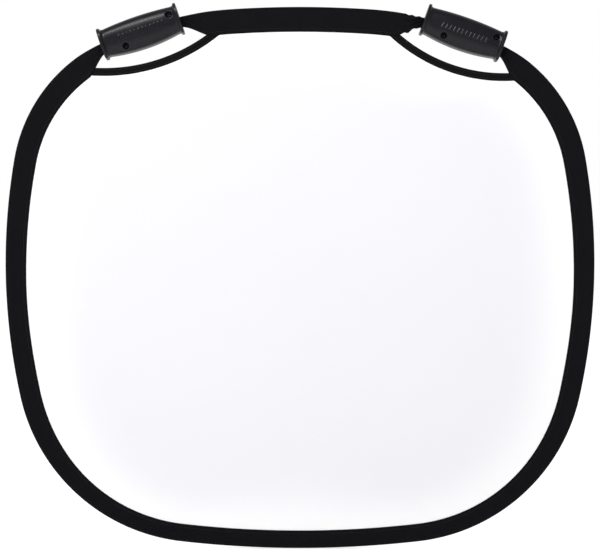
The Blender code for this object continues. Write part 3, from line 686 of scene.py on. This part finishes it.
def gap_meets_hem(side, word, radius, tuck):
    """Angles about the gap's centre, and lengths along the hoop, where a circle meets a line that lies
    a tuck outside the sleeve's inner edge: the first on the outer side of the grip and the second on
    its inner side."""
    centre, (outer_neck, inner_neck) = gap_centre(side, word), NECKS[word]
    found = []
    for low, high in ((outer_neck - GAP_SEARCH, outer_neck), (inner_neck + GAP_SEARCH, inner_neck)):
        run = np.linspace(low, high, 3001)
        edge = hoop(run, sleeve_width(run, word) - tuck, side) - centre
        past = np.hypot(edge[:, 0], edge[:, 1]) < radius
        k = int(np.argmax(past))
        found.append((math.atan2(edge[k, 1], edge[k, 0]), float(run[k])))
    return found


def gone_along(points):
    """Distance gone along a line of points, from its first point to each one."""
    return np.concatenate([[0.0], np.cumsum(np.linalg.norm(np.diff(points, axis=0), axis=1))])


def sheet_edge(side, word):
    """Points round half of a sheet, from the foot to the crown, and how far each is along the edge."""
    radius = GAP_RADIUS[word] + TAPE_WIDTH - GAP_OVERLAP
    (low_turn, low_run), (high_turn, high_run) = gap_meets_hem(side, word, radius, SHEET_TUCK)
    below = np.linspace(0.0, low_run, SHEET_STEPS_BELOW)
    above = np.linspace(high_run, HALF_ROUND, SHEET_STEPS_ABOVE)
    turn = np.linspace(low_turn, high_turn, SHEET_STEPS_ARC)[1:-1]
    arc = gap_centre(side, word) + radius * np.stack([np.cos(turn), np.sin(turn)], -1)
    edge = np.concatenate([hoop(below, sleeve_width(below, word) - SHEET_TUCK, side), arc,
                           hoop(above, sleeve_width(above, word) - SHEET_TUCK, side)])
    edge[[0, -1], 0] = 0.0
    return edge, gone_along(edge)


def sheet_swell(flat, from_edge, gone):
    """How far the cloth stands off its plane: slow shallow waves in the open, and short tension puckers
    that run in from the hem and die out. Both fade to nothing at the hem, and the puckers at the middle
    line."""
    x, z = flat[..., 0], flat[..., 1]
    waves = np.sin(17.0 * x + 5.0 * z + 0.6) + np.sin(9.0 * z - 13.0 * x + 2.0) + np.sin(23.0 * z + 7.0 * x)
    puckers = ripple(gone / 2.1, 0.9) * np.exp(-from_edge / SHEET_PUCKER_REACH) * smooth(np.abs(x) / 0.03)
    free = from_edge - SHEET_HELD
    return smooth(free / 0.10) * SHEET_WAVE * waves / 3 + smooth(free / 0.012) * SHEET_PUCKER * puckers


def white_nylon():
    """White coated cloth: a very fine plain weave, a little cooler in the open and pure white by the hem; the
    brightening towards the hem is painted light, and the darker open middle is painted shade."""
    finish, start, shader = new_finish("white_coated_nylon", Roughness=0.85, Specular_IOR_Level=0.15)
    place = start.node("TexCoord", {}, {}, output=3)
    thread = 2 * math.pi / 0.0006
    weave = (place.part(0) * thread).sine() * (place.part(2) * thread).sine()
    hem_painted_light = start.node("Attribute", {"attribute_name": "hem_painted_light"}, {}, output=2)
    clouds = place.noise(5.0, 1.0)
    # Painted light: the hem value brightens the base colour towards the hem, on top of a random cloudy tone.
    shade = hem_painted_light + 0.10 * (clouds - 0.5)
    feed(shader, Base_Color=shade.colour((0.812, 0.805, 0.846), (0.925, 0.925, 0.93)),
         Normal=(0.1 * weave + place.noise(180.0, 3.0)).bumps(0.00008))
    return finish


def silver_cloth():
    """Metallised cloth: bright, finely crinkled all over, with a fine square grid pressed in by its
    weave."""
    finish, start, shader = new_finish("silver_metallised_cloth", Metallic=1.0)
    place = start.node("TexCoord", {}, {}, output=3)
    crinkle = place.noise(95.0, 5.0, 0.62)
    broad = place.noise(14.0, 3.0, 0.5)
    thread = 2 * math.pi / 0.0016
    grid = (place.part(0) * thread).sine() * (place.part(2) * thread).sine()
    feed(shader, Base_Color=crinkle.colour((0.47, 0.48, 0.50), (0.80, 0.81, 0.83)),
         Roughness=0.22 + 0.16 * broad, Normal=(crinkle + 2.2 * broad + 0.05 * grid).bumps(0.0020))
    return finish


def sheet_half(colour, side, word, finish):
    """Half of a sheet. Each row of the grid runs from a point on the middle line, at half the height of
    the row's edge point, out to the edge, and the columns crowd towards the edge, where the puckers
    are."""
    edge, gone = sheet_edge(side, word)
    share = np.linspace(0.0, 1.0, SHEET_COLUMNS)[None, :, None]
    share = 1.0 - (1.0 - share) ** 1.5
    inner = edge[:, None, :] * np.array([0.0, 0.5])
    flat = inner + (edge[:, None, :] - inner) * share
    flat[[0, -1], :, 0] = 0.0
    from_edge = np.linalg.norm(edge[:, None, :] - flat, axis=-1) * 0.9
    swell = sheet_swell(flat, from_edge, gone[:, None])
    near, far = SHEET_SIDES[colour]
    piece = two_faced(f"{colour}_sheet_{word}", upright(flat, swell + near), upright(flat, swell + far),
                      flat, finish)
    # Painted light: a value that is 1 at the hem and falls off inward, so that the white sheet's colour
    # brightens there.
    hem = piece.data.attributes.new("hem_painted_light", "FLOAT", "POINT")
    hem_painted_light = np.exp(-((from_edge / HEM_PAINTED_LIGHT_REACH) ** 2))
    hem.data.foreach_set("value", np.tile(hem_painted_light.ravel(), 2).astype(np.float32))
    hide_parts(f"{colour}_panel_{word}", f"{colour}_panel_centre")
    x, z = edge[:, 0], edge[:, 1]
    area = abs(np.sum(x * np.roll(z, -1) - z * np.roll(x, -1))) / 2
    bend_with(piece, side)
    return piece, (float(np.ptp(x)), float(np.ptp(z))), float(area)


sheet_finishes = {"white": white_nylon(), "silver": silver_cloth()}
sheets = [(sheet_half(colour, side, word, sheet_finishes[colour]), word)
          for colour in ("white", "silver") for side, word in ((-1, "left"), (1, "right"))]

# ---------------------------------------------------------------- Finger-gap tape
# Grosgrain tape folded over the sheets' edge below each grip and sewn with two rows. The hand goes
# through between it and the grip. Its ends run in between the sleeve's plies.

TAPE_HALF = 0.0012
TAPE_PLY = 0.0004
TAPE_RIDGES, TAPE_RIDGE_HEIGHT = 4, 0.0003
TAPE_SEAMS = (0.25, 0.75)
TAPE_STITCH_PROUD = 0.0001
TAPE_STEPS = 220


def tape_half_depth(share):
    """Half of the tape's depth across it, from its fold at 0 to its open edge at 1: four rounded
    ridges, with both edges rounded off."""
    ridges = np.abs(np.sin(math.pi * TAPE_RIDGES * share)) ** 0.7
    fold = (1.0 - np.clip(1.0 - share / 0.12, 0.0, 1.0) ** 2.2) ** 0.5
    lip = 1.0 - 0.35 * smooth((share - 0.93) / 0.07)
    return (TAPE_HALF - TAPE_RIDGE_HEIGHT + TAPE_RIDGE_HEIGHT * ridges) * fold * lip


def tape_line(side, word, share):
    """Points (x, z) along the tape at each share of its width: arcs about one centre, each from its own
    meeting with the sleeve's edge on the outer side to the one on the inner side."""
    step = np.linspace(0.0, 1.0, TAPE_STEPS)
    line = []
    for part in share:
        radius = GAP_RADIUS[word] + part * TAPE_WIDTH
        (start, _), (end, _) = gap_meets_hem(side, word, radius, TAPE_TUCK)
        turn = start + (end - start) * step
        line.append(gap_centre(side, word) + radius * np.stack([np.cos(turn), np.sin(turn)], -1))
    return np.stack(line, 1)


def grosgrain():
    """Black ribbed tape: close ribs across its width, duller than the sleeve."""
    finish, start, shader = new_finish("black_grosgrain", Specular_IOR_Level=0.12)
    laid = start.node("UVMap", {"uv_map": "weave"}, {})
    rib = (laid.part(0) * (2 * math.pi / 0.0011)).sine()
    clouds = laid.noise(160.0, 3.0)
    feed(shader, Base_Color=clouds.colour((0.0016, 0.0016, 0.0021), (0.0048, 0.0048, 0.0056)),
         Roughness=0.8 + 0.1 * clouds, Normal=(0.35 * rib + 0.5 * clouds).bumps(0.0003))
    return finish


def finger_gap_tape(side, word, finish):
    """A strip folded lengthwise: a grid of length along the arc by a path from the front edge over the
    fold to the back edge, and a lining one ply inside it."""
    share = np.concatenate([np.linspace(0.0, 0.12, 8)[:-1], np.linspace(0.12, 1.0, 34)])
    line = tape_line(side, word, share)
    path = np.concatenate([-share[::-1], share[1:]])
    both = np.concatenate([line[:, ::-1], line[:, 1:]], 1)
    half = tape_half_depth(np.abs(path))
    hollow = np.maximum(half - TAPE_PLY, np.minimum(half, HEM_SLOT)) * smooth(np.abs(path) / 0.05)
    out = (both - gap_centre(side, word)) / GAP_RADIUS[word]
    sunk = both + TAPE_PLY * (1.0 - smooth(np.abs(path) / 0.1))[None, :, None] * out
    uv = np.stack(np.broadcast_arrays(gone_along(line[:, 0])[:, None], path * TAPE_WIDTH), -1)
    tape = two_faced(f"finger_gap_tape_{word}", upright(both, np.sign(path) * half),
                     upright(sunk, np.sign(path) * hollow), uv, finish)
    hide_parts(f"finger_gap_binding_{word}")
    bend_with(tape, side)


def tape_rows(side, word, finish):
    """Two rows of stitches in the valleys between the tape's ridges, front and back."""
    middle, along, out = [], [], []
    for share in TAPE_SEAMS:
        line = tape_line(side, word, np.array([share]))[:, 0]
        gone = gone_along(line)
        place = np.arange(2 * STITCH_PITCH, gone[-1] - 2 * STITCH_PITCH, STITCH_PITCH)
        points = np.stack([np.interp(place, gone, line[:, k]) for k in (0, 1)], -1)
        ahead = np.gradient(points, axis=0)
        ahead = upright(ahead / np.linalg.norm(ahead, axis=1, keepdims=True), 0.0)
        depth = float(tape_half_depth(np.array(share))) + TAPE_STITCH_PROUD
        for facing in (-1.0, 1.0):
            middle.append(upright(points, facing * depth))
            along.append(ahead)
            out.append(np.broadcast_to([0.0, facing, 0.0], ahead.shape))
    stitches(f"{word}_tape_stitches", *map(np.concatenate, (middle, along, out)), finish, side)


tape_finish = grosgrain()
for side, word in ((-1, "left"), (1, "right")):
    finger_gap_tape(side, word, tape_finish)
    tape_rows(side, word, thread_finish)

# ---------------------------------------------------------------- Grips
# Two halves of one moulded shell, the second turned round, clamp on the band's neck with four screws.
# Black nylon plastic with a fine grain, flanges at both ends, sunk screw wells and a row of short ribs.

FLANGE_HALF_HEIGHT, FLANGE_DEPTH, FLANGE_THICKNESS = 0.0215, 0.0185, 0.004
FLANGE_FILLET = 0.005
RIM_ROUND = 0.0009
BODY_END = (0.0175, 0.0145)
BELLY_TOP, BELLY_BOTTOM, BELLY_DEPTH = 0.0034, 0.0062, 0.0025
SHELL_WALL = 0.0025
SQUARENESS = 2.9
TYPICAL_HEIGHT, TYPICAL_DEPTH = 0.019, 0.016
SPLIT = 0.00015
SPLIT_EDGE = 0.0003
WELL_RADIUS, WELL_SEAT, SHANK_RADIUS, BOSS_RADIUS = 0.00435, 0.008, 0.0017, 0.00555
WELL_EASE, WELL_EASE_WIDTH = 0.0006, 0.0012
MOUTH_HEIGHT, MOUTH_DEPTH, MOUTH_MIDDLE = 0.0146, 0.0135, -0.0044
GRIP_RIBS = 12
RIB_STEP, RIB_SIZE, RIB_SLANT, RIB_RISE = 0.0056, (0.0011, 0.0038), 0.22, 0.0004
RIB_ROW_MIDDLE = (0.001, -0.0022)
SHELL_SHARP_ANGLE = math.radians(38)
BODY_STEPS, ROUND_STEPS, TURN_STEPS, HOLLOW_GRID, CUTTER_SIDES = 104, 9, 118, (23, 27), 40
HELPERS = ("shell_outside", "shell_hollow", "boss", "well", "shank_hole", "neck_mouth")


def grip_stations():
    """Places along the grip: even along the body, and closer in the fillets and round the flanges'
    rims."""
    end = GRIP_HALF_LENGTH - FLANGE_THICKNESS
    body = np.linspace(0.0, end - FLANGE_FILLET, BODY_STEPS)
    turn = np.linspace(0.0, math.pi / 2, ROUND_STEPS)[1:]
    fillet = end - FLANGE_FILLET + FLANGE_FILLET * np.sin(turn)
    rim_in = end + RIM_ROUND * (1.0 - np.cos(turn))
    rim_out = GRIP_HALF_LENGTH - RIM_ROUND * (1.0 - np.sin(turn))
    right = np.concatenate([body, fillet, rim_in, [GRIP_HALF_LENGTH - RIM_ROUND], rim_out])
    right = np.unique(np.round(right, 7))
    return np.concatenate([-right[:0:-1], right])


def grip_sizes(x, inward):
    """(top, bottom, depth) at x: a barrel, a parabola along its length, that sweeps up into a flange by
    a quarter circle. The flange's two rims are rounded by quarter circles."""
    far = np.abs(x)
    end = GRIP_HALF_LENGTH - FLANGE_THICKNESS
    bulge = 1.0 - (x / GRIP_HALF_LENGTH) ** 2
    grow, near_rim, far_rim = (
        1.0 - np.sqrt(1.0 - np.clip(past / radius, 0.0, 1.0) ** 2)
        for past, radius in ((far - end + FLANGE_FILLET, FLANGE_FILLET), (end + RIM_ROUND - far, RIM_ROUND),
                             (far - GRIP_HALF_LENGTH + RIM_ROUND, RIM_ROUND)))
    less = RIM_ROUND * np.where(far < end, grow, near_rim + far_rim)
    if inward:
        grow, less = np.zeros_like(far), inward
    (tall, deep), flange = BODY_END, (FLANGE_HALF_HEIGHT, FLANGE_HALF_HEIGHT, FLANGE_DEPTH)
    barrel = tall + BELLY_TOP * bulge, tall + BELLY_BOTTOM * bulge, deep + BELLY_DEPTH * bulge
    return [body + (most - body) * grow - less for body, most in zip(barrel, flange)]


def even_turns(steps):
    """Angles that space points evenly round a squarish half oval, found by measuring a fine one."""
    turn = np.linspace(-math.pi / 2, math.pi / 2, 4001)
    high = TYPICAL_HEIGHT * np.sign(turn) * np.abs(np.sin(turn)) ** (2 / SQUARENESS)
    deep = TYPICAL_DEPTH * np.clip(np.cos(turn), 0.0, 1.0) ** (2 / SQUARENESS)
    gone = gone_along(np.stack([high, deep], -1))
    return np.interp(np.linspace(0.0, gone[-1], steps), gone, turn)


def raised_ribs(x, z):
    """1 on the short slanting ribs down the grip's face and 0 off them, with soft edges."""
    mask = np.zeros(np.broadcast(x, z).shape)
    up = z - RIB_ROW_MIDDLE[1]
    ends = smooth((RIB_SIZE[1] - np.abs(up)) / 0.0006 + 0.5)
    for k in range(GRIP_RIBS):
        middle = RIB_ROW_MIDDLE[0] + (k - (GRIP_RIBS - 1) / 2) * RIB_STEP
        aside = np.abs(x - middle - RIB_SLANT * up)
        mask += smooth((RIB_SIZE[0] - aside) / 0.0005 + 0.5) * ends
    return mask


def half_grip(name, stations, turns, inward, back, wells):
    """A closed half of the grip in its own frame: a squarish half oval at each station, raised by the
    ribs and eased in round the wells, against a flat back."""
    x = stations[:, None]
    top, bottom, depth = grip_sizes(x, inward)
    middle, tall = (top - bottom) / 2, (top + bottom) / 2
    rise, reach = np.sin(turns)[None, :], np.clip(np.cos(turns), 0.0, 1.0)[None, :]
    z = middle + tall * np.sign(rise) * np.abs(rise) ** (2 / SQUARENESS)
    y = -SPLIT - SPLIT_EDGE - (depth - SPLIT - SPLIT_EDGE) * reach ** (2 / SQUARENESS)
    if not inward:
        y = y - RIB_RISE * raised_ribs(x, z)
        for well in wells:
            away = np.hypot(x - well[0], z - well[1])
            y = y + WELL_EASE * (1.0 - smooth((away - WELL_RADIUS) / WELL_EASE_WIDTH))
    x, y, z = np.broadcast_arrays(x, y, z)
    narrowed = middle + (z - middle) * (1.0 if inward else 1.0 - SPLIT_EDGE / tall)
    flat = np.stack([x, np.full_like(x, back), narrowed], -1)
    return two_faced(name, np.stack([x, y, z], -1), flat, np.stack([x, z], -1), None)


def cut_away(target, cutter):
    """Takes the cutter's solid out of the target's."""
    trim = target.modifiers.new(cutter.name, "BOOLEAN")
    trim.operation = "DIFFERENCE"
    trim.solver = "EXACT"
    trim.object = cutter


def round_cutter(name, middle, axis, length, radii):
    """A closed cutter, round or oval in section, with its middle at a point and its length along an
    axis."""
    made = bpy.data.objects.new(name, bpy.data.meshes.new(name))
    scene.collection.objects.link(made)
    lie = Matrix.Rotation(math.pi / 2, 4, "Y" if axis == "X" else "X")
    size = Matrix.Diagonal((radii[0], radii[1], length, 1.0))
    shape = bmesh.new()
    bmesh.ops.create_cone(shape, cap_ends=True, segments=CUTTER_SIDES, radius1=1.0, radius2=1.0, depth=1.0,
                          matrix=Matrix.Translation(middle) @ lie @ size)
    shape.to_mesh(made.data)
    shape.free()
    return made


def moulded_shell():
    """One shell as a mesh in the grip's own frame: x along it, -y out of its face and z out from the
    hoop. A hollow with bosses left in it, the mouths for the sleeve's neck and the screws' wells are
    cut away."""
    centre, along, outward = grip_frame("left")
    wells = []
    for number in (1, 2):
        middle = screw_middle("left", number) - centre
        wells.append((float(middle @ along), float(middle @ outward)))
    end = GRIP_HALF_LENGTH - FLANGE_THICKNESS
    shell = half_grip("shell_outside", grip_stations(), even_turns(TURN_STEPS), 0.0, -SPLIT, wells)
    hollow = half_grip("shell_hollow", np.linspace(-end, end, HOLLOW_GRID[0]), even_turns(HOLLOW_GRID[1]),
                       SHELL_WALL, SHELL_WALL, ())
    cutters = [hollow]
    for x, z in wells:
        boss_length, deep = 2 * (FLANGE_DEPTH - 2 * SPLIT), -WELL_SEAT - FLANGE_DEPTH
        cut_away(hollow, round_cutter("boss", (x, -FLANGE_DEPTH, z), "Y", boss_length, [BOSS_RADIUS] * 2))
        cutters.append(round_cutter("well", (x, deep, z), "Y", 2 * FLANGE_DEPTH, [WELL_RADIUS] * 2))
        cutters.append(round_cutter("shank_hole", (x, -WELL_SEAT, z), "Y", 3 * WELL_SEAT, [SHANK_RADIUS] * 2))
    for way in (-1, 1):
        middle = (way * (end + FLANGE_THICKNESS / 2), 0.0, MOUTH_MIDDLE)
        oval = (MOUTH_HEIGHT / 2, MOUTH_DEPTH / 2)
        cutters.append(round_cutter("neck_mouth", middle, "X", 1.6 * FLANGE_THICKNESS, oval))
    for cutter in cutters:
        cut_away(shell, cutter)
    graph = bpy.context.evaluated_depsgraph_get()
    mesh = bpy.data.meshes.new_from_object(shell.evaluated_get(graph), depsgraph=graph)
    for helper in list(scene.objects):
        if helper.type == "MESH" and helper.name.split(".")[0] in HELPERS:
            bpy.data.objects.remove(helper, do_unlink=True)
    mesh.shade_smooth()
    mesh.set_sharp_from_angle(angle=SHELL_SHARP_ANGLE)
    return mesh


def grip_plastic():
    """Moulded nylon plastic, very dark and slightly violet, with an even fine grain and faint cloudy
    rubbing."""
    finish, start, shader = new_finish("grip_moulded_plastic", Specular_IOR_Level=0.18)
    place = start.node("TexCoord", {}, {}, output=3)
    grain = place.noise(2200.0, 2.0)
    rubbed = place.noise(60.0, 3.0, 0.6)
    feed(shader, Base_Color=rubbed.colour((0.0070, 0.0068, 0.0092), (0.0120, 0.0116, 0.0150)),
         Roughness=0.23 + 0.10 * rubbed, Normal=(grain + 0.3 * rubbed).bumps(0.000016))
    return finish


shell_mesh = moulded_shell()
shell_mesh.materials.clear()
shell_mesh.materials.append(grip_plastic())
for side, word in ((-1, "left"), (1, "right")):
    centre, along, outward = grip_frame(word)
    stand = Matrix(((along[0], 0.0, outward[0], centre[0]), (0.0, 1.0, 0.0, 0.0),
                    (along[1], 0.0, outward[1], centre[1]), (0.0, 0.0, 0.0, 1.0)))
    for face, turn in (("front", Matrix()), ("back", Matrix.Rotation(math.pi, 4, "Z"))):
        mesh = shell_mesh.copy()
        mesh.transform(stand @ turn)
        shell = bpy.data.objects.new(f"{word}_grip_{face}", mesh)
        scene.collection.objects.link(shell)
        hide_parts(f"grip_{word}_{face}_shell")
        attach(shell, f"{word}_wing")

# ---------------------------------------------------------------- Grip screws
# Pan-head screws with cross recesses, blackened steel, at the bottom of the grips' wells. They keep the
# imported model's own shapes.


def blackened_steel():
    """Oxide-black steel, oily and a little blotched."""
    finish, start, shader = new_finish("screw_black_oxide", Metallic=1.0)
    place = start.node("TexCoord", {}, {}, output=3)
    blotch = place.noise(1400.0, 3.0, 0.6)
    feed(shader, Base_Color=blotch.colour((0.012, 0.012, 0.015), (0.036, 0.036, 0.042)),
         Roughness=0.34 + 0.2 * blotch, Normal=blotch.bumps(0.00002))
    return finish


screw_finish = blackened_steel()
for word in ("left", "right"):
    for number in range(1, 5):
        screw = frame["nodes"][f"grip_{word}_screw_{number}"]
        screw.data.materials.clear()
        screw.data.materials.append(screw_finish)
